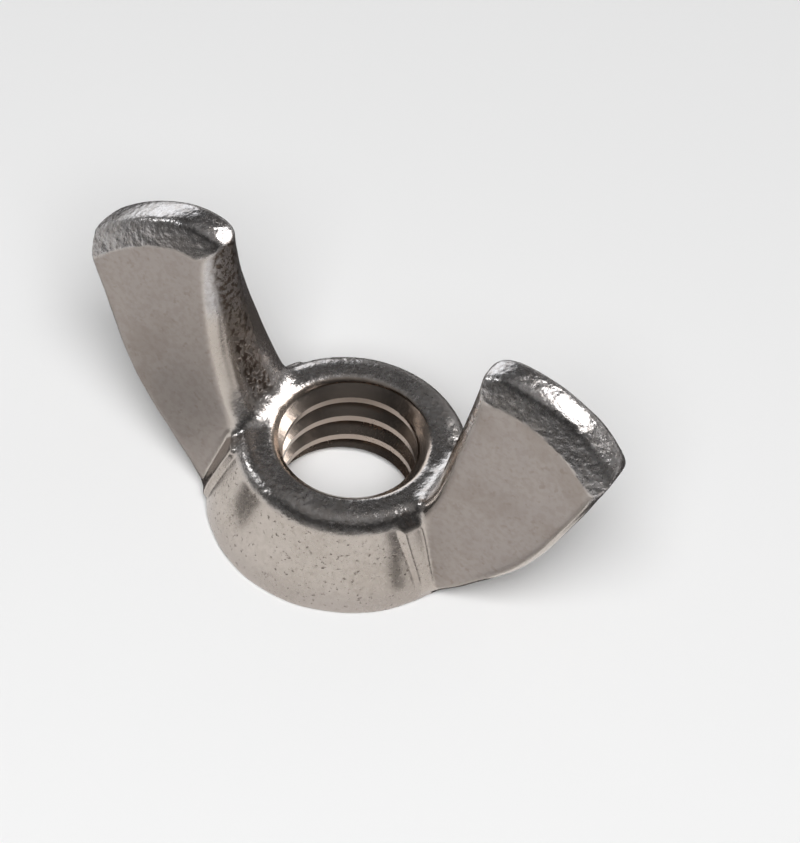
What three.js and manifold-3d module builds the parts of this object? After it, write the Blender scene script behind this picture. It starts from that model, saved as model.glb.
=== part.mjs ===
// A wing nut, forged in one piece from stainless steel: a conical hub with a flat ring on top, two
// splayed wings and a right-hand 5/16-18 thread right through. Millimetres, +Z up, the thread axis
// on Z and the bearing face on Z = 0. The wings spread along X.
import * as THREE from "three";
import { mergeVertices } from "three/addons/utils/BufferGeometryUtils.js";
import Module from "manifold-3d";

// Thread
const THREAD_PITCH = 1.411;
const THREAD_MAJOR_RADIUS = 3.97;
const THREAD_MINOR_RADIUS = 3.35;
const THREAD_STEPS_PER_TURN = 32;

// Hub
const HUB_HEIGHT = 5.4;
const HUB_BASE_RADIUS = 7.0;
const RING_OUTER_RADIUS = 5.4;
const RIM_ROUND = 0.35;
const BASE_BAND_HEIGHT = 0.55;
const COUNTERSINK_RADIUS = 4.05;
const HUB_SEGMENTS = 80;

// Wings: half-thicknesses at the hub's base and at the top of the wing
const WING_HALF_THICKNESS_AT_BASE = 3.2;
const WING_HALF_THICKNESS_AT_TIP = 1.7;
const WING_TIP_X = 14.55;
const WING_TIP_Z = 12.4;
const WING_TOP_Z = 15.85;
const WING_EDGE_ROUND = 0.7;

const steel = new THREE.MeshStandardMaterial({
  color: 0x9c9690,
  metalness: 1,
  roughness: 0.35,
});

const wasm = await Module();
wasm.setup();

// A closed geometry as a manifold-3d solid, with its shared vertices merged.
function solidFrom(geometry) {
  const bare = geometry.clone();
  bare.deleteAttribute("normal");
  bare.deleteAttribute("uv");
  const merged = mergeVertices(bare, 1e-4);
  const mesh = new wasm.Mesh({
    numProp: 3,
    vertProperties: merged.attributes.position.array,
    triVerts: new Uint32Array(merged.index.array),
  });
  return new wasm.Manifold(mesh);
}

// A manifold-3d solid as a BufferGeometry.
function geometryFrom(solid) {
  const mesh = solid.getMesh();
  const geometry = new THREE.BufferGeometry();
  geometry.setAttribute(
    "position",
    new THREE.BufferAttribute(new Float32Array(mesh.vertProperties), 3),
  );
  geometry.setIndex(new THREE.BufferAttribute(new Uint32Array(mesh.triVerts), 1));
  geometry.computeVertexNormals();
  return geometry;
}

// A closed profile of [radius, height] points turned about Z.
function turned(profile, segments) {
  const points = profile.map(([radius, height]) => new THREE.Vector2(radius, height));
  return new THREE.LatheGeometry(points, segments).rotateX(Math.PI / 2);
}

// The hub without its hole: a flat base, a short band, a cone, a rounded rim and a flat ring.
function hubBlank() {
  const coneTopRadius = RING_OUTER_RADIUS + RIM_ROUND;
  return turned(
    [
      [0, 0],
      [HUB_BASE_RADIUS - 0.2, 0],
      [HUB_BASE_RADIUS, 0.2],
      [HUB_BASE_RADIUS, BASE_BAND_HEIGHT],
      [coneTopRadius, HUB_HEIGHT - 1.1],
      [coneTopRadius - 0.08, HUB_HEIGHT - RIM_ROUND],
      [coneTopRadius - 0.18, HUB_HEIGHT - 0.12],
      [RING_OUTER_RADIUS, HUB_HEIGHT],
      [0, HUB_HEIGHT],
    ],
    HUB_SEGMENTS,
  );
}

// The wing's side view in X and Z: it leaves the hub low down, sweeps out and up, and ends in a
// crowned tip that falls from the round inner corner to the sharper outer one.
function wingOutline() {
  const outline = new THREE.Shape();
  outline.moveTo(4.6, 0.63);
  outline.lineTo(6.4, 0.63);
  outline.splineThru([
    new THREE.Vector2(8.5, 2.2),
    new THREE.Vector2(11.0, 4.8),
    new THREE.Vector2(12.9, 8.2),
    new THREE.Vector2(WING_TIP_X, WING_TIP_Z),
  ]);
  outline.splineThru([
    new THREE.Vector2(12.6, 14.6),
    new THREE.Vector2(10.2, WING_TOP_Z),
    new THREE.Vector2(8.0, 15.7),
    new THREE.Vector2(7.1, 14.6),
  ]);
  outline.splineThru([
    new THREE.Vector2(6.2, 10.0),
    new THREE.Vector2(5.4, 6.6),
    new THREE.Vector2(4.6, 4.6),
  ]);
  outline.closePath();
  return outline;
}

// The wing's half-thickness at a height: widest at the hub, thinner towards the tip.
function halfThicknessAt(z) {
  const share = THREE.MathUtils.clamp(z / WING_TIP_Z, 0, 1);
  return THREE.MathUtils.lerp(
    WING_HALF_THICKNESS_AT_BASE,
    WING_HALF_THICKNESS_AT_TIP,
    share,
  );
}

// One wing, extruded one unit to each side of its middle plane with rounded edges, then tapered.
function wing() {
  const bevel = WING_EDGE_ROUND / WING_HALF_THICKNESS_AT_TIP;
  const geometry = new THREE.ExtrudeGeometry(wingOutline(), {
    depth: 2 - 2 * bevel,
    bevelEnabled: true,
    bevelThickness: bevel,
    bevelSize: WING_EDGE_ROUND,
    bevelOffset: -WING_EDGE_ROUND,
    bevelSegments: 3,
    curveSegments: 5,
  });
  geometry.translate(0, 0, bevel - 1);
  geometry.rotateX(Math.PI / 2);
  const position = geometry.getAttribute("position");
  for (let i = 0; i < position.count; i++)
    position.setY(i, position.getY(i) * halfThicknessAt(position.getZ(i)));
  return geometry;
}

// The cutter for the minor bore and the countersinks at both ends.
function boreCutter() {
  const outside = 1;
  const sink = COUNTERSINK_RADIUS - THREAD_MINOR_RADIUS;
  return turned(
    [
      [0, -outside],
      [COUNTERSINK_RADIUS + outside, -outside],
      [THREAD_MINOR_RADIUS, sink],
      [THREAD_MINOR_RADIUS, HUB_HEIGHT - sink],
      [COUNTERSINK_RADIUS + outside, HUB_HEIGHT + outside],
      [0, HUB_HEIGHT + outside],
    ],
    HUB_SEGMENTS,
  );
}

// The cutter for the thread groove: a straight bar with the groove's section, wound down a helix
// from above the hub to below it.
function grooveCutter() {
  const turns = Math.ceil(HUB_HEIGHT / THREAD_PITCH) + 2;
  const inner = THREAD_MINOR_RADIUS - 0.3;
  const innerHalfWidth = THREAD_PITCH * 0.45;
  const outerHalfWidth = THREAD_PITCH / 16;
  const section = new THREE.Shape();
  section.moveTo(inner, -innerHalfWidth);
  section.lineTo(THREAD_MAJOR_RADIUS, -outerHalfWidth);
  section.lineTo(THREAD_MAJOR_RADIUS, outerHalfWidth);
  section.lineTo(inner, innerHalfWidth);
  section.closePath();
  const geometry = new THREE.ExtrudeGeometry(section, {
    depth: turns,
    steps: turns * THREAD_STEPS_PER_TURN,
    bevelEnabled: false,
  });
  const position = geometry.getAttribute("position");
  for (let i = 0; i < position.count; i++) {
    const radius = position.getX(i);
    const turn = position.getZ(i);
    const angle = -2 * Math.PI * turn;
    const height = position.getY(i) + THREAD_PITCH * (turns - 1 - turn);
    position.setXYZ(i, radius * Math.cos(angle), radius * Math.sin(angle), height);
  }
  return geometry;
}

// The whole nut: the hub and both wings joined, then the threaded hole cut through.
function wingNut() {
  const right = wing();
  const left = right.clone().rotateZ(Math.PI);
  const forging = solidFrom(hubBlank()).add(solidFrom(right)).add(solidFrom(left));
  const threadedHole = solidFrom(boreCutter()).add(solidFrom(grooveCutter()));
  const nut = forging.subtract(threadedHole);
  const mesh = new THREE.Mesh(geometryFrom(nut), steel);
  mesh.name = "wing_nut";
  return mesh;
}

const part = new THREE.Group();
part.add(wingNut());

export default part;
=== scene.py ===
"""A forged stainless wing nut on a pale studio floor.

The nut is one solid piece. Its skin is made in three steps: a distance field describes the forging
(hub, ring, wings and the soft fillets between them), a net of quads is drawn on that field's zero
surface, and a helical cutter built by Geometry Nodes cuts the thread. Lengths inside the classes
are millimetres, and the meshes handed to Blender are metres.
"""

import logging
import math
from dataclasses import dataclass, field
from enum import Enum
from typing import Any, Callable, Sequence

import bpy
import numpy as np
from mathutils import Matrix, Vector


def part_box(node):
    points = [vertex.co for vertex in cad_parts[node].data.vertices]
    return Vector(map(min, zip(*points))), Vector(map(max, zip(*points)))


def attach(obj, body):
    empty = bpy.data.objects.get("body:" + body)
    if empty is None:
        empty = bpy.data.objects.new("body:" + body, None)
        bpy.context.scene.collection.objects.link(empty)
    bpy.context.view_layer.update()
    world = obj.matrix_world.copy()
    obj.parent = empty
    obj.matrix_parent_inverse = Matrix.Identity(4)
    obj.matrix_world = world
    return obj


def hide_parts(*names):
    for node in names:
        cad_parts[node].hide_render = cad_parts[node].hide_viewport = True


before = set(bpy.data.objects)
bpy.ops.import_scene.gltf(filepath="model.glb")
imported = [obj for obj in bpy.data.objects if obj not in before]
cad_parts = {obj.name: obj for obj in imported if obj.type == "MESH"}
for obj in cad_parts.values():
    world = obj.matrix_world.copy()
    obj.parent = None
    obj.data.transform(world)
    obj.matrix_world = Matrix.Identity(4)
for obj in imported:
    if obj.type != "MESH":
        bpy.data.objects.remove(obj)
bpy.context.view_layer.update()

MM = 0.001
ROOT_BODY = "root"
CAD_NODE = "wing_nut"

log = logging.getLogger("wing_nut")

Array = np.ndarray
Band = tuple[float, float]
Colour = tuple[float, float, float, float]
Place = tuple[float, float]


# ---------------------------------------------------------------------------------------------
# Field arithmetic
# ---------------------------------------------------------------------------------------------


def soft_max(a: Array, b: Array, round_mm: Array | float) -> Array:
    """Intersect two fields with a rounded edge.

    Args:
        a: First distance field.
        b: Second distance field.
        round_mm: Width over which the edge is rounded.

    Returns:
        The field of the rounded intersection.
    """
    blend = np.maximum(round_mm - np.abs(a - b), 0.0)
    return np.maximum(a, b) + blend * blend / (4.0 * round_mm)


def soft_min(a: Array, b: Array, round_mm: Array | float) -> Array:
    """Join two fields with a fillet.

    Args:
        a: First distance field.
        b: Second distance field.
        round_mm: Width over which the fillet runs.

    Returns:
        The field of the filleted union.
    """
    return -soft_max(-a, -b, round_mm)


def ramp(value: Array, low: float, high: float) -> Array:
    """Rise smoothly from 0 at low to 1 at high."""
    share = np.clip((value - low) / (high - low), 0.0, 1.0)
    return share * share * (3.0 - 2.0 * share)


def ripple(x: Array, y: Array, z: Array, wavelength_mm: float, seed: int) -> Array:
    """Sum a few slanted waves into a smooth irregular pattern.

    Args:
        x: X places in millimetres.
        y: Y places in millimetres.
        z: Z places in millimetres.
        wavelength_mm: Mean length of the waves.
        seed: Seed for the waves' directions and phases.

    Returns:
        Values of about -1 to 1.
    """
    waves = 7
    spread = (0.7, 1.4)
    rng = np.random.default_rng(seed)
    total = np.zeros_like(x)
    for _ in range(waves):
        way = rng.normal(size=3)
        way *= 2.0 * math.pi * rng.uniform(*spread) / (wavelength_mm * np.linalg.norm(way))
        total += np.sin(x * way[0] + y * way[1] + z * way[2] + rng.uniform(0.0, 2.0 * math.pi))
    return total / math.sqrt(waves)


def smooth_curve(corners: Sequence[Place], per_span: int = 8) -> Array:
    """Draw a Catmull-Rom curve through a few points.

    Args:
        corners: The points the curve passes through.
        per_span: Points made between each two of them.

    Returns:
        The curve's points, the last corner included.
    """
    knots = np.array([corners[0], *corners, corners[-1]], float)
    points = []
    for i in range(1, len(knots) - 2):
        before, start, end, after = knots[i - 1 : i + 3]
        for step in range(per_span):
            t = step / per_span
            points.append(
                0.5
                * (
                    2.0 * start
                    + (end - before) * t
                    + (2.0 * before - 5.0 * start + 4.0 * end - after) * t**2
                    + (3.0 * start - before - 3.0 * end + after) * t**3
                )
            )
    points.append(knots[-1])
    return np.array(points)


class OutlineField:
    """The signed distance to a closed outline, stored on a fine grid and read by interpolation."""

    def __init__(self, outline: Array, margin_mm: float = 3.0, step_mm: float = 0.05) -> None:
        """Measure the outline.

        Args:
            outline: Points of the closed outline, without repeating the first.
            margin_mm: Room kept around the outline.
            step_mm: Spacing of the stored distances.
        """
        self.low = outline.min(0) - margin_mm
        self.step = step_mm
        high = outline.max(0) + margin_mm
        counts = np.ceil((high - self.low) / step_mm).astype(int) + 1
        u = self.low[0] + step_mm * np.arange(counts[0])[:, None]
        v = self.low[1] + step_mm * np.arange(counts[1])[None, :]
        nearest = np.full((counts[0], counts[1]), np.inf)
        inside = np.zeros(nearest.shape, bool)
        for (ax, ay), (bx, by) in zip(outline, np.roll(outline, -1, axis=0)):
            dx, dy = bx - ax, by - ay
            t = np.clip(((u - ax) * dx + (v - ay) * dy) / (dx * dx + dy * dy), 0.0, 1.0)
            nearest = np.minimum(nearest, np.hypot(u - ax - t * dx, v - ay - t * dy))
            if dy != 0.0:
                crosses = (ay > v) != (by > v)
                inside ^= crosses & (u < ax + (v - ay) * dx / dy)
        self.grid = np.where(inside, -nearest, nearest)

    def __call__(self, u: Array, v: Array) -> Array:
        """Read the distance at places inside or near the outline.

        Args:
            u: First coordinates of the places.
            v: Second coordinates of the places.

        Returns:
            The signed distances, negative inside.
        """
        rows, columns = self.grid.shape
        edge = 1.001  # keeps the next row and column on the grid
        fu = np.clip((u - self.low[0]) / self.step, 0.0, rows - edge)
        fv = np.clip((v - self.low[1]) / self.step, 0.0, columns - edge)
        i, j = fu.astype(np.int32), fv.astype(np.int32)
        fu, fv = fu - i, fv - j
        grid = self.grid
        near = grid[i, j] * (1.0 - fv) + grid[i, j + 1] * fv
        far = grid[i + 1, j] * (1.0 - fv) + grid[i + 1, j + 1] * fv
        return near * (1.0 - fu) + far * fu


# ---------------------------------------------------------------------------------------------
# The forging
# ---------------------------------------------------------------------------------------------


@dataclass(frozen=True)
class Hub:
    """Sizes of the hub and its hole, in millimetres."""

    base_radius: float = 7.06
    band_height: float = 0.62
    height: float = 5.38
    neck_radius: float = 5.87
    neck_height: float = 4.6
    rim_round: float = 0.85
    edge_round: float = 0.35
    bore_radius: float = 3.36
    sink_radius: float = 4.0
    sink_above: float = 0.5
    sink_round: float = 0.16

    def blank(self, r: Array, z: Array) -> Array:
        """Describe the hub without its hole.

        Args:
            r: Distances from the axis.
            z: Heights.

        Returns:
            The field.
        """
        run = self.base_radius - self.neck_radius
        rise = self.neck_height - self.band_height
        length = math.hypot(run, rise)
        flank = ((r - self.base_radius) * rise + (z - self.band_height) * run) / length
        body = soft_max(r - self.base_radius, -z, self.edge_round)
        body = soft_max(body, flank, self.edge_round)
        return soft_max(body, z - self.height, self.rim_round)

    def hole(self, r: Array, z: Array) -> Array:
        """Describe the plain bore with a 45-degree countersink at each end.

        Args:
            r: Distances from the axis.
            z: Heights.

        Returns:
            The field.
        """
        slope = math.sqrt(0.5)
        top = (r - self.sink_radius - (z - self.height)) * slope
        top = np.maximum(top, z - self.height - self.sink_above)
        bottom = (r - self.sink_radius + z) * slope
        return np.minimum(r - self.bore_radius, np.minimum(top, bottom))


@dataclass(frozen=True)
class Wing:
    """Sizes of one wing, in millimetres; its side view is drawn in X and Z."""

    outer_side: tuple[Place, ...]
    inner_side: tuple[Place, ...]
    crest: tuple[Place, ...]
    half_at_base: float = 3.0
    half_at_tip: float = 1.75
    tip_height: float = 12.4
    thinnest_at: float = 1.15
    lean_at_base: float = 0.3
    shoulder: float = 0.5
    shoulder_slope: float = 1.5
    inner_round: float = 1.6
    outer_round: float = 0.4
    above: float = 18.0
    outer_run: float = 0.8
    inner_run: float = 0.3

    def outline(self) -> Array:
        """Draw the side view without its crest: both sides run on up past the tip.

        Returns:
            The closed outline's points, in X and Z.
        """
        foot_height = self.outer_side[0][1]
        outer = smooth_curve(self.outer_side)
        inner = smooth_curve(self.inner_side)
        over = [
            (outer[-1][0] + self.outer_run, self.above),
            (inner[0][0] + self.inner_run, self.above),
        ]
        return np.vstack([outer, over, inner, [(inner[-1][0], foot_height)]])

    def crest_height(self, out: Array) -> Array:
        """Return the height of the crest's middle line at a distance from the axis."""
        line = smooth_curve(self.crest)
        return np.interp(out, line[:, 0], line[:, 1])

    def half_thickness(self, z: Array) -> Array:
        """Return half the wing's thickness at a height."""
        share = np.clip(z / self.tip_height, 0.0, self.thinnest_at)
        return self.half_at_base + (self.half_at_tip - self.half_at_base) * share

    def middle(self, side: Array, z: Array) -> Array:
        """Return the Y of the middle plane, which leans to opposite sides on the two wings."""
        return side * self.lean_at_base * (1.0 - np.clip(z / self.tip_height, 0.0, 1.0))


LEFT_WING = Wing(
    outer_side=((6.0, 0.0), (7.25, 1.4), (8.95, 3.1), (11.3, 5.7), (13.3, 9.2), (14.9, 12.3)),
    inner_side=((7.4, 14.8), (6.9, 11.7), (6.3, 9.2), (5.5, 7.2), (4.5, 5.6), (3.4, 4.4)),
    crest=((7.0, 15.0), (8.3, 15.6), (9.8, 15.7), (11.5, 15.1), (13.2, 13.95), (15.0, 12.2)),
)
RIGHT_WING = Wing(
    outer_side=((6.5, 0.0), (8.4, 1.7), (10.65, 4.1), (12.1, 6.4), (13.2, 8.9), (14.5, 12.1)),
    inner_side=((6.95, 14.4), (6.45, 11.4), (5.95, 8.9), (5.5, 6.5), (4.7, 5.2), (3.4, 4.4)),
    crest=((6.6, 15.0), (8.2, 15.65), (10.2, 15.5), (12.0, 14.8), (13.2, 13.9), (14.9, 12.2)),
    inner_round=0.45,
    outer_round=0.75,
)


@dataclass(frozen=True)
class Seam:
    """The ridge of flash down the middle of a wing's edges, in millimetres."""

    half_width: float = 0.45
    proud: float = 0.06
    unevenness: float = 0.7
    wavelength: float = 1.1
    seed: int = 5

    def height(self, across: Array, fade: Array, place: tuple[Array, Array, Array]) -> Array:
        """Return how far the ridge stands out.

        Args:
            across: Distance from the wing's middle plane.
            fade: Share of the ridge that is left, 0 at the tip.
            place: X, Y and Z.

        Returns:
            The ridge's height.
        """
        ridge = np.exp(-((across / self.half_width) ** 2)) * fade
        waves = ripple(*place, self.wavelength, self.seed)
        return self.proud * ridge * (1.0 + self.unevenness * waves)


@dataclass(frozen=True)
class Crown:
    """The rounding of both wings' crests and edges, in millimetres or as shares of half a wing."""

    tip_heights: Band = (7.5, 13.0)
    inner_slant: float = 0.42
    inner_band: Band = (1.8, 5.0)
    back_band: Band = (-0.4, 0.9)
    back_round: float = 0.6
    widest: float = 1.25
    bow: float = 0.15
    shoulder_softness: float = 0.015
    steepness: float = 0.8
    crest_round: float = 0.06
    back_crest_round: float = 0.3
    corner_round: float = 0.8
    corner_band: Band = (12.5, 14.0)

    def drop(self, share: Array, half: Array, wing: Wing) -> Array:
        """Sink the crest towards the wing's faces.

        Args:
            share: Distance across, as a share of half the thickness.
            half: Half the wing's thickness.
            wing: The wing that gives the shoulder.

        Returns:
            How far the crest has sunk.
        """
        share = np.clip(share, -self.widest, self.widest)
        past = np.abs(share) - wing.shoulder
        fall = past + np.sqrt(past**2 + self.shoulder_softness)
        return self.bow * share**2 + wing.shoulder_slope * half * fall / 2.0

    def top_round(self, out: Array, back: Array) -> Array:
        """Return the rounding of the crest's edges at a distance out and a share of back."""
        corner = self.corner_round * ramp(out, *self.corner_band)
        return self.crest_round + back * (self.back_crest_round + corner)


@dataclass(frozen=True)
class Pad:
    """The flat forging pad beside each wing's root, in millimetres."""

    proud: float = 0.24
    half_width: float = 3.6
    side_round: float = 0.12
    end_inset: float = 0.35
    end_round: float = 0.6
    fillet: float = 0.08


@dataclass
class Forging:
    """The forged blank with its plain hole, as one distance field."""

    hub: Hub = field(default_factory=Hub)
    left: Wing = LEFT_WING
    right: Wing = RIGHT_WING
    seam: Seam = field(default_factory=Seam)
    crown: Crown = field(default_factory=Crown)
    pad: Pad = field(default_factory=Pad)
    root_fillet: float = 0.2
    inner_fillet: float = 0.6
    inner_heights: Band = (3.4, 5.6)
    inner_widths: Band = (1.6, 3.0)
    unevenness: float = 0.012
    uneven_wavelength: float = 2.6
    uneven_seed: int = 11

    def __post_init__(self) -> None:
        """Store each wing's side view as a field."""
        self.left_view = OutlineField(self.left.outline())
        self.right_view = OutlineField(self.right.outline())

    def wings(self, x: Array, y: Array, z: Array) -> Array:
        """Describe both wings.

        Args:
            x: X places in millimetres.
            y: Y places in millimetres.
            z: Z places in millimetres.

        Returns:
            The field.
        """
        wing, crown = self.right, self.crown
        side = np.sign(x)
        across = y - wing.middle(side, z)
        half = wing.half_thickness(z)
        out = np.abs(x)
        on_left = side < 0.0
        edge = np.where(on_left, self.left_view(out, z), self.right_view(out, z))
        crest = np.where(on_left, self.left.crest_height(out), self.right.crest_height(out))
        high = ramp(z, *crown.tip_heights)
        edge = edge - self.seam.height(across, 1.0 - high, (x, y, z))
        inner = 1.0 - ramp(out - crown.inner_slant * z, *crown.inner_band)
        inner_round = inner * np.where(on_left, self.left.inner_round, wing.inner_round)
        outer_round = np.where(on_left, self.left.outer_round, wing.outer_round)
        back = ramp(across / half, *crown.back_band)
        side_round = outer_round + inner_round + crown.back_round * high * back
        body = soft_max(edge, np.abs(across) - half, side_round)
        top = (z + crown.drop(across / half, half, wing) - crest) * crown.steepness
        return soft_max(body, top, crown.top_round(out, high * back))

    def hub_and_pads(self, r: Array, x: Array, y: Array, z: Array) -> Array:
        """Describe the hub with the pads on its flank.

        Args:
            r: Distances from the axis.
            x: X places.
            y: Y places.
            z: Heights.

        Returns:
            The field.
        """
        hub, pad = self.hub, self.pad
        blank = hub.blank(r, z)
        across = np.abs(y - self.right.middle(np.sign(x), z))
        plate = soft_max(blank - pad.proud, across - pad.half_width, pad.side_round)
        ends = np.maximum(pad.end_inset - z, z - hub.height + pad.end_inset)
        return soft_min(blank, soft_max(plate, ends, pad.end_round), pad.fillet)

    def __call__(self, x: Array, y: Array, z: Array) -> Array:
        """Measure the distance to the forging's skin.

        Args:
            x: X places in millimetres.
            y: Y places in millimetres.
            z: Z places in millimetres.

        Returns:
            The signed distance, negative inside.
        """
        r = np.hypot(x, y)
        on_top = ramp(z, *self.inner_heights) * (1.0 - ramp(np.abs(y), *self.inner_widths))
        fillet = self.root_fillet + (self.inner_fillet - self.root_fillet) * on_top
        body = soft_min(self.hub_and_pads(r, x, y, z), self.wings(x, y, z), fillet)
        rough = body + self.unevenness * ripple(x, y, z, self.uneven_wavelength, self.uneven_seed)
        skin = np.maximum(rough, -z)
        return soft_max(skin, -self.hub.hole(r, z), self.hub.sink_round)


class SurfaceNet:
    """Draws an even net of quads on the zero surface of a field."""

    REACH_MM = 0.02
    LEAST_SLOPE = 0.05
    SLABS = 24
    SLIDE = 0.5

    def __init__(self, shape: Callable[[Array, Array, Array], Array], cell_mm: float) -> None:
        """Keep the field and the net's cell size.

        Args:
            shape: The signed distance field, in millimetres.
            cell_mm: Side of one cell of the net.
        """
        self.shape = shape
        self.cell = cell_mm

    def slope(self, points: Array) -> tuple[Array, Array]:
        """Measure the field and its gradient.

        Args:
            points: The places, one in each row.

        Returns:
            The field and the gradient at each point.
        """
        x, y, z = points.T
        reach = self.REACH_MM
        value = self.shape(x, y, z)
        gradient = np.stack(
            [
                self.shape(x + reach, y, z) - self.shape(x - reach, y, z),
                self.shape(x, y + reach, z) - self.shape(x, y - reach, z),
                self.shape(x, y, z + reach) - self.shape(x, y, z - reach),
            ],
            axis=1,
        )
        return value, gradient / (2.0 * reach)

    def settle(self, points: Array, rounds: int = 3) -> Array:
        """Move points along the field's gradient onto its zero surface.

        Args:
            points: The points, one in each row.
            rounds: How often they are moved.

        Returns:
            The moved points.
        """
        for _ in range(rounds):
            value, gradient = self.slope(points)
            steepness = np.maximum((gradient**2).sum(1), self.LEAST_SLOPE)
            step = gradient * (value / steepness)[:, None]
            points = points - np.clip(step, -self.cell, self.cell)
        return points

    def relax(self, points: Array, quads: Array) -> Array:
        """Slide each point towards the mean of its neighbours, within the surface.

        Args:
            points: The net's points.
            quads: The net's quads.

        Returns:
            The moved points.
        """
        total = np.zeros_like(points)
        count = np.zeros(len(points))
        for turn in range(4):
            ends = quads[:, turn]
            for other in (quads[:, (turn + 1) % 4], quads[:, turn - 1]):
                for axis in range(3):
                    total[:, axis] += np.bincount(ends, points[other, axis], len(points))
                count += np.bincount(ends, minlength=len(points))
        shift = total / count[:, None] - points
        _, gradient = self.slope(points)
        normal = gradient / np.maximum(np.linalg.norm(gradient, axis=1), 1e-6)[:, None]
        shift -= normal * (shift * normal).sum(1)[:, None]
        return points + self.SLIDE * shift

    def draw(self, low: Array, high: Array) -> tuple[Array, Array]:
        """Draw the net inside a box.

        Args:
            low: The box's lowest corner, in millimetres.
            high: The box's highest corner.

        Returns:
            The net's points and its quads, wound to face outwards.
        """
        axes = [np.arange(a, b + self.cell, self.cell) for a, b in zip(low, high)]
        slabs = [
            self.shape(*np.meshgrid(part, axes[1], axes[2], indexing="ij"))
            for part in np.array_split(axes[0], self.SLABS)
        ]
        inside = np.concatenate(slabs) < 0.0
        ends = (slice(None, -1), slice(1, None))
        corners = sum(inside[i, j, k].astype(np.int8) for i in ends for j in ends for k in ends)
        crossed = (corners > 0) & (corners < 8)
        number = np.full(crossed.shape, -1, np.int64)
        number[crossed] = np.arange(crossed.sum())
        places = np.argwhere(crossed)
        points = np.stack([axes[n][places[:, n]] + self.cell / 2.0 for n in range(3)], axis=1)
        quads = np.concatenate([self._quads(inside, number, axis) for axis in range(3)])
        points = self.settle(points)
        for _ in range(3):
            points = self.settle(self.relax(points, quads), 1)
        return self.settle(points, 2), quads

    @staticmethod
    def _quads(inside: Array, number: Array, axis: int) -> Array:
        """Find the quads crossed by the grid lines that run along one axis.

        Args:
            inside: Whether each grid point lies in the solid.
            number: The net point of each cell, or -1.
            axis: The grid lines' axis.

        Returns:
            The quads, as rows of four net points.
        """
        turn = (axis, (axis + 1) % 3, (axis + 2) % 3)
        solid = inside.transpose(turn)
        cells = number.transpose(turn)
        core = solid[:, 1:-1, 1:-1]
        leaving = core[:-1] & ~core[1:]
        entering = ~core[:-1] & core[1:]
        found = []
        for crossing, order in ((leaving, (0, 1, 2, 3)), (entering, (3, 2, 1, 0))):
            i, j, k = np.nonzero(crossing)
            ring = [cells[i, j, k], cells[i, j + 1, k], cells[i, j + 1, k + 1], cells[i, j, k + 1]]
            found.append(np.stack([ring[n] for n in order], axis=1))
        return np.concatenate(found)


# ---------------------------------------------------------------------------------------------
# Node building
# ---------------------------------------------------------------------------------------------


class NodeKit:
    """A node tree, with one method that makes every node."""

    def __init__(self, tree: bpy.types.NodeTree) -> None:
        """Empty a tree to build in."""
        self.tree = tree
        self.tree.nodes.clear()

    def node(self, kind: str, settings: dict[str, Any], inputs: dict[Any, Any]) -> bpy.types.Node:
        """Make one node.

        Args:
            kind: The node's type.
            settings: Properties set first; "stops" gives a ramp's (place, grey or colour) pairs.
            inputs: Values or links of its sockets, by name or number.

        Returns:
            The node.
        """
        made = self.tree.nodes.new(kind)
        for key, value in settings.items():
            if key == "stops":
                self._set_stops(made, value)
            else:
                setattr(made, key, value)
        for key, value in inputs.items():
            target = made.inputs[key]
            if isinstance(value, Signal):
                self.tree.links.new(value.socket, target)
            else:
                target.default_value = value
        return made

    @staticmethod
    def _set_stops(made: bpy.types.Node, stops: Sequence[tuple[float, Any]]) -> None:
        """Give a colour ramp its stops.

        Args:
            made: The ramp's node.
            stops: Pairs of a place and a grey or colour.
        """
        elements = made.color_ramp.elements
        while len(elements) < len(stops):
            elements.new(0.5)
        for element, (place, colour) in zip(elements, stops):
            element.position = place
            tone = (colour,) * 3 if isinstance(colour, float) else colour
            element.color = (*tone, 1.0)

    def out(
        self, kind: str, settings: dict[str, Any], inputs: dict[Any, Any], socket: Any = 0
    ) -> "Signal":
        """Make one node and return one of its outputs as a signal."""
        return Signal(self, self.node(kind, settings, inputs).outputs[socket])

    def attribute(self, name: str) -> "Signal":
        """Read a number stored on the mesh's points."""
        return self.out("ShaderNodeAttribute", {"attribute_name": name}, {}, "Fac")

    def noise(self, place: "Signal", grain: "Grain") -> "Signal":
        """Make one grain's noise.

        Args:
            place: The coordinates it is laid on.
            grain: Its scale and band.

        Returns:
            Values of about 0 to 1.
        """
        inputs = {"Vector": place, "Scale": grain.per_metre, "Detail": grain.detail}
        made = self.out("ShaderNodeTexNoise", {}, inputs)
        return made.between(*grain.band) if grain.band else made

    def mix(self, share: Any, first: Any, second: Any) -> "Signal":
        """Mix two colours."""
        settings = {"data_type": "RGBA"}
        return self.out("ShaderNodeMix", settings, {0: share, 6: first, 7: second}, 2)


class MaterialKit(NodeKit):
    """The node tree of a new material."""

    def __init__(self, name: str) -> None:
        """Create an empty material.

        Args:
            name: Its name.
        """
        self.material = bpy.data.materials.new(name)
        self.material.use_nodes = True
        super().__init__(self.material.node_tree)

    def finish(self, principled: dict[str, Any]) -> bpy.types.Material:
        """Give the material its one surface.

        Args:
            principled: Values or links of the Principled BSDF's sockets.

        Returns:
            The material.
        """
        surface = self.out("ShaderNodeBsdfPrincipled", {}, principled)
        self.node("ShaderNodeOutputMaterial", {}, {"Surface": surface})
        return self.material


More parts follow.
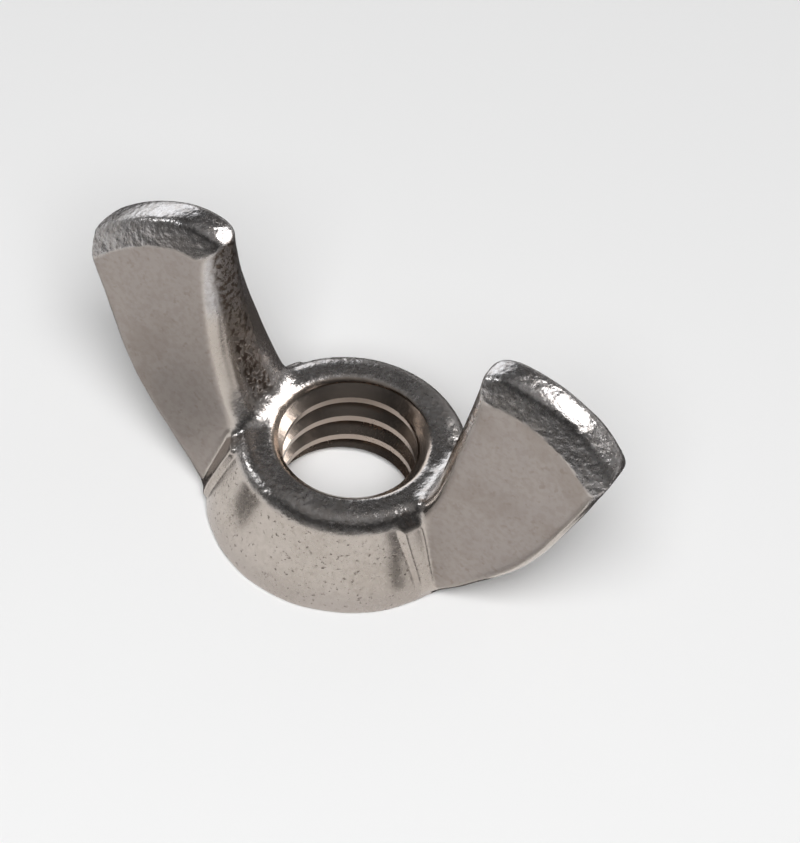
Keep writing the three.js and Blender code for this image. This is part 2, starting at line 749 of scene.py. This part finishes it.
class Signal:
    """A node's output that Python's operators can reckon with."""

    def __init__(self, kit: NodeKit, socket: bpy.types.NodeSocket) -> None:
        self.kit = kit
        self.socket = socket

    def _math(self, operation: str, first: Any, second: Any, clamp: bool = False) -> "Signal":
        """Add a Math node."""
        settings = {"operation": operation, "use_clamp": clamp}
        return self.kit.out("ShaderNodeMath", settings, {0: first, 1: second})

    def __add__(self, other: Any) -> "Signal":
        """Add."""
        return self._math("ADD", self, other)

    __radd__ = __add__

    def __sub__(self, other: Any) -> "Signal":
        """Subtract."""
        return self._math("SUBTRACT", self, other)

    def __rsub__(self, other: Any) -> "Signal":
        """Subtract this from a number."""
        return self._math("SUBTRACT", other, self)

    def __mul__(self, other: Any) -> "Signal":
        """Multiply."""
        return self._math("MULTIPLY", self, other)

    __rmul__ = __mul__

    def between(self, low: float, high: float) -> "Signal":
        """Rise from 0 at low to 1 at high, smoothly."""
        settings = {"interpolation_type": "SMOOTHSTEP"}
        return self.kit.out(
            "ShaderNodeMapRange", settings, {"Value": self, "From Min": low, "From Max": high}
        )

    def clamped(self) -> "Signal":
        """Keep the value within 0 and 1."""
        return self._math("ADD", self, 0.0, clamp=True)


# ---------------------------------------------------------------------------------------------
# The thread
# ---------------------------------------------------------------------------------------------


@dataclass(frozen=True)
class Thread:
    """A right-hand coarse thread, in millimetres."""

    pitch: float = 1.411
    major_radius: float = 3.97
    overlap: float = 0.08
    mouth_share: float = 0.83
    root_share: float = 0.125
    steps_per_turn: int = 64
    spare_turns: int = 3
    turns_below: float = 1.5

    def cutter(self, hub: Hub, material: bpy.types.Material) -> bpy.types.Object:
        """Wind the groove's section into a helix with Geometry Nodes.

        Args:
            hub: The hub that the thread runs through.
            material: Material of the cutter's faces.

        Returns:
            The cutter as a plain mesh object, in metres.
        """
        turns = math.ceil(hub.height / self.pitch) + self.spare_turns
        kit = NodeKit(bpy.data.node_groups.new("thread_cutter", "GeometryNodeTree"))
        face = kit.tree.interface
        face.new_socket("Geometry", in_out="OUTPUT", socket_type="NodeSocketGeometry")
        sizes = {
            "Radius": (self.major_radius + hub.bore_radius - self.overlap) / 2.0 * MM,
            "Depth": (self.major_radius - hub.bore_radius + self.overlap) * MM,
            "Mouth Width": self.mouth_share * self.pitch * MM,
            "Root Width": self.root_share * self.pitch * MM,
            "Height": turns * self.pitch * MM,
            "Turns": float(turns),
        }
        sockets = {
            name: face.new_socket(name, in_out="INPUT", socket_type="NodeSocketFloat")
            for name in sizes
        }
        steps = face.new_socket("Steps", in_out="INPUT", socket_type="NodeSocketInt")
        given = {name: kit.out("NodeGroupInput", {}, {}, name) for name in (*sizes, "Steps")}
        spiral = {
            "Resolution": given["Steps"],
            "Rotations": given["Turns"],
            "Start Radius": given["Radius"],
            "End Radius": given["Radius"],
            "Height": given["Height"],
        }
        helix = kit.out("GeometryNodeCurveSpiral", {}, spiral, "Curve")
        upright = kit.out("GeometryNodeSetCurveNormal", {"mode": "Z_UP"}, {"Curve": helix}, "Curve")
        trapezoid = {
            "Height": given["Depth"],
            "Bottom Width": given["Mouth Width"],
            "Top Width": given["Root Width"],
            "Offset": 0.0,
        }
        section = kit.out(
            "GeometryNodeCurvePrimitiveQuadrilateral", {"mode": "TRAPEZOID"}, trapezoid, "Curve"
        )
        quarter = {"Geometry": section, "Rotation": (0.0, 0.0, math.pi / 2.0)}
        turned = kit.out("GeometryNodeTransform", {}, quarter, "Geometry")
        along = {"Curve": upright, "Profile Curve": turned, "Fill Caps": True}
        sweep = kit.out("GeometryNodeCurveToMesh", {}, along, "Mesh")
        whole = kit.out("GeometryNodeRealizeInstances", {}, {"Geometry": sweep}, "Geometry")
        finish = {"Geometry": whole, "Material": material}
        painted = kit.out("GeometryNodeSetMaterial", {}, finish, "Geometry")
        kit.node("NodeGroupOutput", {}, {"Geometry": painted})

        carrier = bpy.data.objects.new("thread_cutter", bpy.data.meshes.new("thread_cutter"))
        bpy.context.collection.objects.link(carrier)
        modifier = carrier.modifiers.new("wind", "NODES")
        modifier.node_group = kit.tree
        for name, size in sizes.items():
            modifier[sockets[name].identifier] = size
        modifier[steps.identifier] = self.steps_per_turn
        mesh = evaluated_mesh(carrier)
        carrier.modifiers.clear()
        carrier.data = mesh
        lowest = min(v.co.z for v in mesh.vertices)
        start = -self.turns_below * self.pitch * MM
        mesh.transform(Matrix.Translation((0.0, 0.0, start - lowest)))
        return carrier


def evaluated_mesh(thing: bpy.types.Object) -> bpy.types.Mesh:
    """Apply an object's modifiers.

    Args:
        thing: The object.

    Returns:
        A plain mesh of it.
    """
    graph = bpy.context.evaluated_depsgraph_get()
    graph.update()
    return bpy.data.meshes.new_from_object(thing.evaluated_get(graph), depsgraph=graph)


class Region(Enum):
    """The areas of the nut that are finished differently, and the hub's lowest band, which carries
    painted shade; the values name point attributes.
    """

    TIP = "tip"
    RING = "ring"
    THREAD = "thread"
    FLANK = "flank"
    WING_FACE = "wing_face"
    SEAM = "seam"
    # the hub's lowest band, painted darker near the floor as painted shade
    BASE = "base"


Shares = tuple[tuple[Region, float], ...]


@dataclass(frozen=True)
class Grain:
    """A scale of noise, and the band of it that is stretched to 0 to 1 where it has one."""

    per_metre: float
    detail: float
    band: Band | None = None


class Marks:
    """The region attributes, read once in a material's tree."""

    def __init__(self, tree: MaterialKit) -> None:
        """Read every region."""
        self.of = {region: tree.attribute(region.value) for region in Region}

    def weigh(self, shares: Shares) -> Signal:
        """Sum the regions, each times its share."""
        return sum(self.of[region] * share for region, share in shares)


@dataclass(frozen=True)
class ForgedSteel:
    """Tumbled forged stainless steel, with each region's own tone, gloss and grain, and painted
    shade on the hub's lowest band.

    A field that ends in _shares says how strongly each region takes a tone or gloss, or how deep
    a grain is in it, in millimetres.
    """

    pale: Colour = (0.60, 0.54, 0.49, 1.0)
    # matte is the wing faces' duller tone; it is also laid on the hub's lowest band as painted
    # shade
    matte: Colour = (0.40, 0.355, 0.33, 1.0)
    warm: Colour = (0.46, 0.40, 0.345, 1.0)
    stain: Colour = (0.26, 0.205, 0.16, 1.0)
    cool: Colour = (0.58, 0.56, 0.56, 1.0)
    cut: Colour = (0.42, 0.34, 0.285, 1.0)
    scorch: Colour = (0.11, 0.08, 0.06, 1.0)

    cloud: Grain = Grain(260.0, 5.0, (0.35, 0.7))
    patch: Grain = Grain(420.0, 3.0, (0.5, 0.68))
    speck: Grain = Grain(2600.0, 2.0, (0.6, 0.72))
    mottle: Grain = Grain(3300.0, 4.0, (0.4, 0.66))
    crust: Grain = Grain(3800.0, 4.0, (0.4, 0.6))
    pits: Grain = Grain(4600.0, 2.0, (0.62, 0.74))
    fine: Grain = Grain(5200.0, 3.0)
    peel: Grain = Grain(1500.0, 3.0)
    dimple: Grain = Grain(3600.0, 3.0)

    warm_share: float = 0.4
    cloud_in_matte: float = 0.25
    patch_shares: Shares = ((Region.WING_FACE, 0.22),)
    mottle_shares: Shares = ((Region.WING_FACE, 0.2), (Region.FLANK, 0.14))
    speck_shares: Shares = ((Region.WING_FACE, 0.3), (Region.FLANK, 0.2))
    pit_shares: Shares = ((Region.FLANK, 0.6),)
    # painted shade: how strongly the hub's lowest band is darkened towards the matte tone
    base_shade_shares: Shares = ((Region.BASE, 0.55),)
    cool_shares: Shares = ((Region.TIP, 0.85), (Region.RING, 0.7))
    cool_mottle_shares: Shares = ((Region.TIP, 0.3), (Region.RING, 0.3))
    cut_shares: Shares = ((Region.THREAD, 0.85),)
    scorch_share: float = 0.5
    crust_scorch_share: float = 0.45

    roughness: float = 0.24
    rough_shares: Shares = (
        (Region.WING_FACE, 0.2),
        (Region.FLANK, 0.02),
        (Region.TIP, 0.03),
        (Region.RING, 0.04),
        (Region.SEAM, 0.1),
    )
    fine_roughness: float = 0.14
    cloud_roughness: float = 0.05

    peel_shares: Shares = ((Region.TIP, 0.060), (Region.RING, 0.036))
    dimple_shares: Shares = ((Region.RING, 0.034), (Region.TIP, 0.040))
    crust_shares: Shares = ((Region.SEAM, 0.035),)
    fine_depth: float = 0.0026
    fine_shares: Shares = ((Region.WING_FACE, 0.004),)
    pit_depth_shares: Shares = ((Region.FLANK, 0.016), (Region.WING_FACE, 0.004))

    def tone(self, tree: MaterialKit, marks: Marks, noise: dict[str, Signal]) -> Signal:
        """Lay the tones over each other, from the pale ground to the scorched seams.

        Args:
            tree: The material being built.
            marks: Its regions.
            noise: Its grains, by name.

        Returns:
            The base colour.
        """
        cloud, mottle = noise["cloud"], noise["mottle"]
        face, seam = marks.of[Region.WING_FACE], marks.of[Region.SEAM]
        layers = (
            (cloud * self.warm_share, self.warm),
            (face * (1.0 - self.cloud_in_matte * cloud), self.matte),
            (noise["patch"] * marks.weigh(self.patch_shares), self.stain),
            (mottle * marks.weigh(self.mottle_shares), self.stain),
            (noise["speck"] * marks.weigh(self.speck_shares), self.stain),
            (noise["pits"] * marks.weigh(self.pit_shares), self.scorch),
            # painted shade: the hub's lowest band darkened with the matte tone
            (marks.weigh(self.base_shade_shares), self.matte),
            (marks.weigh(self.cool_shares), self.cool),
            (mottle * marks.weigh(self.cool_mottle_shares), self.stain),
            (marks.weigh(self.cut_shares), self.cut),
            (seam * (self.scorch_share + self.crust_scorch_share * noise["crust"]), self.scorch),
        )
        tone: Any = self.pale
        for share, colour in layers:
            tone = tree.mix(share.clamped(), tone, colour)
        return tone

    def relief(self, marks: Marks, noise: dict[str, Signal]) -> Signal:
        """Return the height of the grain, in millimetres.

        Args:
            marks: The material's regions.
            noise: Its grains, by name.

        Returns:
            The height that the bump is made from.
        """
        height = (noise["peel"] - 0.5) * marks.weigh(self.peel_shares)
        height = height + (noise["dimple"] - 0.5) * marks.weigh(self.dimple_shares)
        height = height + (noise["crust"] - 0.5) * marks.weigh(self.crust_shares)
        height = height + (noise["fine"] - 0.5) * (self.fine_depth + marks.weigh(self.fine_shares))
        return height - noise["pits"] * marks.weigh(self.pit_depth_shares)

    def build(self) -> bpy.types.Material:
        """Build the material.

        Returns:
            The material, patterned on Object coordinates and the mesh's region attributes.
        """
        tree = MaterialKit("forged_stainless_steel")
        place = tree.out("ShaderNodeTexCoord", {}, {}, "Object")
        marks = Marks(tree)
        grains = ("cloud", "patch", "speck", "mottle", "crust", "pits", "fine", "peel", "dimple")
        noise = {name: tree.noise(place, getattr(self, name)) for name in grains}
        rough = self.roughness + marks.weigh(self.rough_shares)
        rough = rough + (noise["fine"] - 0.5) * self.fine_roughness
        rough = rough + (noise["cloud"] - 0.5) * self.cloud_roughness
        relief = {"Strength": 1.0, "Distance": MM, "Height": self.relief(marks, noise)}
        return tree.finish(
            {
                "Base Color": self.tone(tree, marks, noise),
                "Metallic": 1.0,
                "Roughness": rough.clamped(),
                "Normal": tree.out("ShaderNodeBump", {}, relief, "Normal"),
            }
        )


# ---------------------------------------------------------------------------------------------
# The nut
# ---------------------------------------------------------------------------------------------


@dataclass(frozen=True)
class RegionBands:
    """Where the regions fade in or out: from and to, in millimetres or in shares of a normal."""

    past_thread: Band = (-0.05, 0.1)
    outside_radius: Band = (5.6, 6.6)
    face_normal: Band = (0.86, 0.95)
    face_out: Band = (4.6, 6.0)
    hub_skin: Band = (0.02, 0.35)
    tip_height: Band = (10.5, 12.0)
    tip_normal: Band = (0.8, 0.95)
    ring_below_top: Band = (0.9, 0.35)
    ring_radius: Band = (5.6, 6.3)
    ring_normal: Band = (0.2, 0.6)
    flank_height: Band = (4.4, 5.0)
    # heights over which the painted shade on the hub's lowest band fades out
    base_shade_height: Band = (0.5, 2.2)
    seam_normal: Band = (0.45, 0.75)
    seam_height: Band = (5.6, 6.4)
    seam_front: Band = (-1.4, -1.0)
    seam_back: Band = (0.2, 0.6)


@dataclass
class WingNut:
    """The whole nut: the forging's skin with the thread cut into it."""

    forging: Forging = field(default_factory=Forging)
    thread: Thread = field(default_factory=Thread)
    finish: ForgedSteel = field(default_factory=ForgedSteel)
    bands: RegionBands = field(default_factory=RegionBands)
    cell_mm: float = 0.125
    margin_mm: float = 0.6
    crease_degrees: float = 32.0

    def skin(self) -> bpy.types.Object:
        """Draw the forging's skin.

        Returns:
            The skin as a mesh object, in metres.
        """
        low, high = (np.array(corner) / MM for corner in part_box(CAD_NODE))
        net = SurfaceNet(self.forging, self.cell_mm)
        points, quads = net.draw(low - self.margin_mm, high + self.margin_mm)
        mesh = bpy.data.meshes.new("wing_nut_skin")
        mesh.vertices.add(len(points))
        mesh.vertices.foreach_set("co", (points * MM).astype(np.float32).ravel())
        mesh.loops.add(quads.size)
        mesh.loops.foreach_set("vertex_index", quads.astype(np.int32).ravel())
        mesh.polygons.add(len(quads))
        mesh.polygons.foreach_set("loop_start", np.arange(0, quads.size, 4, dtype=np.int32))
        mesh.update(calc_edges=True)
        mesh.validate()
        body = bpy.data.objects.new("wing_nut_skin", mesh)
        bpy.context.collection.objects.link(body)
        return body

    def mark_regions(self, mesh: bpy.types.Mesh) -> None:
        """Store how far each point belongs to each region.

        Args:
            mesh: The nut's mesh, in metres.
        """
        count = len(mesh.vertices)
        flat = np.empty(count * 3, np.float32)
        mesh.vertices.foreach_get("co", flat)
        x, y, z = flat.reshape(-1, 3).T.astype(float) / MM
        mesh.vertices.foreach_get("normal", flat)
        normal = flat.reshape(-1, 3)
        hub, bands = self.forging.hub, self.bands
        r = np.hypot(x, y)
        thread_edge = [self.thread.major_radius + past for past in bands.past_thread]
        thread = 1.0 - ramp(r, *thread_edge)
        outside = (1.0 - thread) * ramp(r, *bands.outside_radius)
        sideways, upward = np.abs(normal[:, 1]), np.abs(normal[:, 2])
        inward = -normal[:, 0] * np.sign(x)
        face = ramp(sideways, *bands.face_normal) * ramp(np.abs(x), *bands.face_out)
        on_hub = 1.0 - ramp(np.abs(hub.blank(r, z)), *bands.hub_skin)
        ring_edge = [hub.height - below for below in bands.ring_below_top]
        values = {
            Region.TIP: ramp(z, *bands.tip_height) * (1.0 - ramp(sideways, *bands.tip_normal)),
            Region.RING: (1.0 - thread)
            * ramp(z, *ring_edge)
            * (1.0 - ramp(r, *bands.ring_radius))
            * ramp(upward, *bands.ring_normal),
            Region.THREAD: thread,
            Region.FLANK: on_hub * (1.0 - thread) * (1.0 - ramp(z, *bands.flank_height)),
            Region.WING_FACE: face * outside * (1.0 - on_hub),
            # painted shade: full at the hub's foot, fading out upwards
            Region.BASE: on_hub * (1.0 - ramp(z, *bands.base_shade_height)),
            Region.SEAM: ramp(inward, *bands.seam_normal)
            * ramp(z, *bands.seam_height)
            * (1.0 - thread)
            * ramp(y, *bands.seam_front)
            * (1.0 - ramp(y, *bands.seam_back)),
        }
        for region, value in values.items():
            layer = mesh.attributes.new(region.value, "FLOAT", "POINT")
            layer.data.foreach_set("value", value.astype(np.float32))

    def build(self) -> bpy.types.Object:
        """Make the nut's one piece.

        Returns:
            The finished object, riding on the root body in place of the plain solid.
        """
        steel = self.finish.build()
        body = self.skin()
        body.data.materials.append(steel)
        cutter = self.thread.cutter(self.forging.hub, steel)
        cut = body.modifiers.new("thread", "BOOLEAN")
        cut.operation = "DIFFERENCE"
        cut.solver = "MANIFOLD"
        cut.object = cutter
        mesh = evaluated_mesh(body)
        for spent in (body, cutter):
            bpy.data.objects.remove(spent)
        mesh.name = "forged_wing_nut"
        mesh.materials.clear()
        mesh.materials.append(steel)
        mesh.polygons.foreach_set("material_index", np.zeros(len(mesh.polygons), np.int32))
        mesh.shade_smooth()
        mesh.set_sharp_from_angle(angle=math.radians(self.crease_degrees))
        self.mark_regions(mesh)
        nut = bpy.data.objects.new("forged_wing_nut", mesh)
        bpy.context.collection.objects.link(nut)
        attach(nut, ROOT_BODY)
        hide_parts(CAD_NODE)
        return nut


# ---------------------------------------------------------------------------------------------
# The studio
# ---------------------------------------------------------------------------------------------


@dataclass(frozen=True)
class SoftBox:
    """A rectangular light, placed by direction from the nut and aimed at it."""

    name: str
    towards: tuple[float, float, float]
    distance: float
    size: tuple[float, float]
    watts: float
    tint: tuple[float, float, float] = (1.0, 1.0, 1.0)
    in_gloss: bool = True

    def build(self, target: Vector) -> None:
        """Hang the light.

        Args:
            target: The point it is aimed at, in metres.
        """
        light = bpy.data.lights.new(self.name, "AREA")
        light.shape = "RECTANGLE"
        light.size, light.size_y = self.size
        light.energy = self.watts
        light.color = self.tint
        holder = bpy.data.objects.new(self.name, light)
        holder.visible_glossy = self.in_gloss
        holder.visible_diffuse = not self.in_gloss
        way = Vector(self.towards).normalized()
        holder.location = target + way * self.distance
        holder.rotation_euler = way.to_track_quat("Z", "Y").to_euler()
        bpy.context.collection.objects.link(holder)


@dataclass
class Studio:
    """The pale floor, the surrounding light, the soft boxes and the camera."""

    floor_side: float = 6.0
    floor_tone: float = 0.86
    azimuth: float = 25.6
    elevation: float = 49.0
    roll: float = 6.4
    distance: float = 0.27
    lens: float = 230.2
    sensor: float = 36.0
    clip: Band = (0.01, 50.0)
    aim_right: float = 2.61 * MM
    aim_up: float = 2.53 * MM
    aim_height: float = 2.69 * MM
    matte: float = 0.9
    flag_height: float = 0.05
    flag_tone: Colour = (0.05, 0.045, 0.045, 1.0)
    sky_stops: tuple[tuple[float, float], ...] = (
        (0.0, 0.3),
        (0.1, 0.16),
        (0.35, 0.1),
        (0.6, 0.04),
        (0.78, 0.035),
        (1.0, 0.3),
    )
    flag_corners: tuple[tuple[Place, ...], ...] = (
        ((-60.0, 3.0), (60.0, 3.0), (60.0, 60.0), (-60.0, 60.0)),
        ((-60.0, -3.6), (-4.3, -3.6), (-4.3, 3.0), (-60.0, 3.0)),
        ((6.5, -2.5), (9.5, -2.5), (9.5, 3.0), (6.5, 3.0)),
        ((16.0, -3.6), (60.0, -3.6), (60.0, 3.0), (16.0, 3.0)),
        ((-10.5, -6.6), (-16.0, -11.0), (-12.0, -15.0), (-7.0, -8.6)),
        ((8.0, -5.2), (46.0, -26.0), (48.0, -14.0), (8.6, -4.4)),
    )
    boxes: tuple[SoftBox, ...] = (
        SoftBox("floor_fill", (0.25, -0.5, 0.85), 0.5, (0.3, 0.3), 3.0, in_gloss=False),
        SoftBox("back_box", (0.42, 0.59, 0.69), 0.5, (0.24, 0.28), 1.5),
        SoftBox("rear_left_box", (-0.76, 0.6, 0.22), 0.5, (0.36, 0.3), 0.55, (0.92, 0.96, 1.0)),
        SoftBox("left_box", (-0.86, -0.21, 0.52), 0.5, (0.06, 0.1), 0.2, (0.95, 0.98, 1.0)),
    )

    def floor(self) -> bpy.types.Object:
        """Lay the floor that the nut stands on.

        Returns:
            The floor.
        """
        half = self.floor_side / 2.0
        mesh = bpy.data.meshes.new("floor")
        corners = [(-half, -half, 0.0), (half, -half, 0.0), (half, half, 0.0), (-half, half, 0.0)]
        mesh.from_pydata(corners, [], [(0, 1, 2, 3)])
        tone = (self.floor_tone,) * 3 + (1.0,)
        paint = MaterialKit("pale_floor").finish({"Base Color": tone, "Roughness": self.matte})
        mesh.materials.append(paint)
        floor = bpy.data.objects.new("floor", mesh)
        bpy.context.collection.objects.link(floor)
        return floor

    def flags(self) -> bpy.types.Object:
        """Lay the dark cards beside the nut, which only the metal's reflections see.

        Returns:
            All cards as one object.
        """
        mesh = bpy.data.meshes.new("dark_card")
        height = self.flag_height * MM
        corners = [(x * MM, y * MM, height) for card in self.flag_corners for x, y in card]
        faces = [tuple(range(first, first + 4)) for first in range(0, len(corners), 4)]
        mesh.from_pydata(corners, [], faces)
        paint = {"Base Color": self.flag_tone, "Roughness": self.matte}
        mesh.materials.append(MaterialKit("dark_card").finish(paint))
        card = bpy.data.objects.new("dark_card", mesh)
        bpy.context.collection.objects.link(card)
        card.visible_camera = False
        card.visible_diffuse = False
        card.visible_shadow = False
        return card

    def surround(self) -> None:
        """Light the room: pale at the horizon and straight overhead, dark between."""
        world = bpy.data.worlds.new("studio")
        bpy.context.scene.world = world
        world.use_nodes = True
        kit = NodeKit(world.node_tree)
        where = kit.out("ShaderNodeTexCoord", {}, {}, "Generated")
        height = kit.out("ShaderNodeSeparateXYZ", {}, {0: where}, "Z")
        sky = kit.out("ShaderNodeValToRGB", {"stops": self.sky_stops}, {0: height})
        glow = kit.out("ShaderNodeBackground", {}, {0: sky})
        backdrop = kit.out("ShaderNodeBackground", {}, {0: (self.floor_tone,) * 3 + (1.0,)})
        straight = kit.out("ShaderNodeLightPath", {}, {}, "Is Camera Ray")
        seen = kit.out("ShaderNodeMixShader", {}, {0: straight, 1: glow, 2: backdrop})
        kit.node("ShaderNodeOutputWorld", {}, {0: seen})

    def camera(self) -> None:
        """Set the camera up at its viewing angle."""
        turn, rise = math.radians(self.azimuth), math.radians(self.elevation)
        back = Vector(
            (
                math.sin(turn) * math.cos(rise),
                -math.cos(turn) * math.cos(rise),
                math.sin(rise),
            )
        )
        level = Vector((math.cos(turn), math.sin(turn), 0.0))
        lean = Matrix.Rotation(math.radians(self.roll), 3, back)
        right = lean @ level
        up = lean @ back.cross(level)
        target = Vector((0.0, 0.0, self.aim_height)) + right * self.aim_right + up * self.aim_up
        lens = bpy.data.cameras.new("camera")
        lens.lens = self.lens
        lens.sensor_width = self.sensor
        lens.clip_start, lens.clip_end = self.clip
        holder = bpy.data.objects.new("camera", lens)
        holder.matrix_world = Matrix.Translation(target + back * self.distance) @ Matrix(
            (right, up, back)
        ).transposed().to_4x4()
        bpy.context.collection.objects.link(holder)
        bpy.context.scene.camera = holder

    def build(self) -> None:
        """Build the whole studio."""
        self.camera()
        self.floor()
        self.flags()
        self.surround()
        target = Vector((0.0, 0.0, self.aim_height))
        for box in self.boxes:
            box.build(target)
        view = bpy.context.scene.view_settings
        view.view_transform = "Standard"
        view.look = "None"


def main() -> None:
    """Build the studio and the nut."""
    logging.basicConfig(level=logging.INFO)
    Studio().build()
    nut = WingNut().build()
    log.info("%s: %d faces", nut.name, len(nut.data.polygons))


if __name__ == "__main__":
    main()
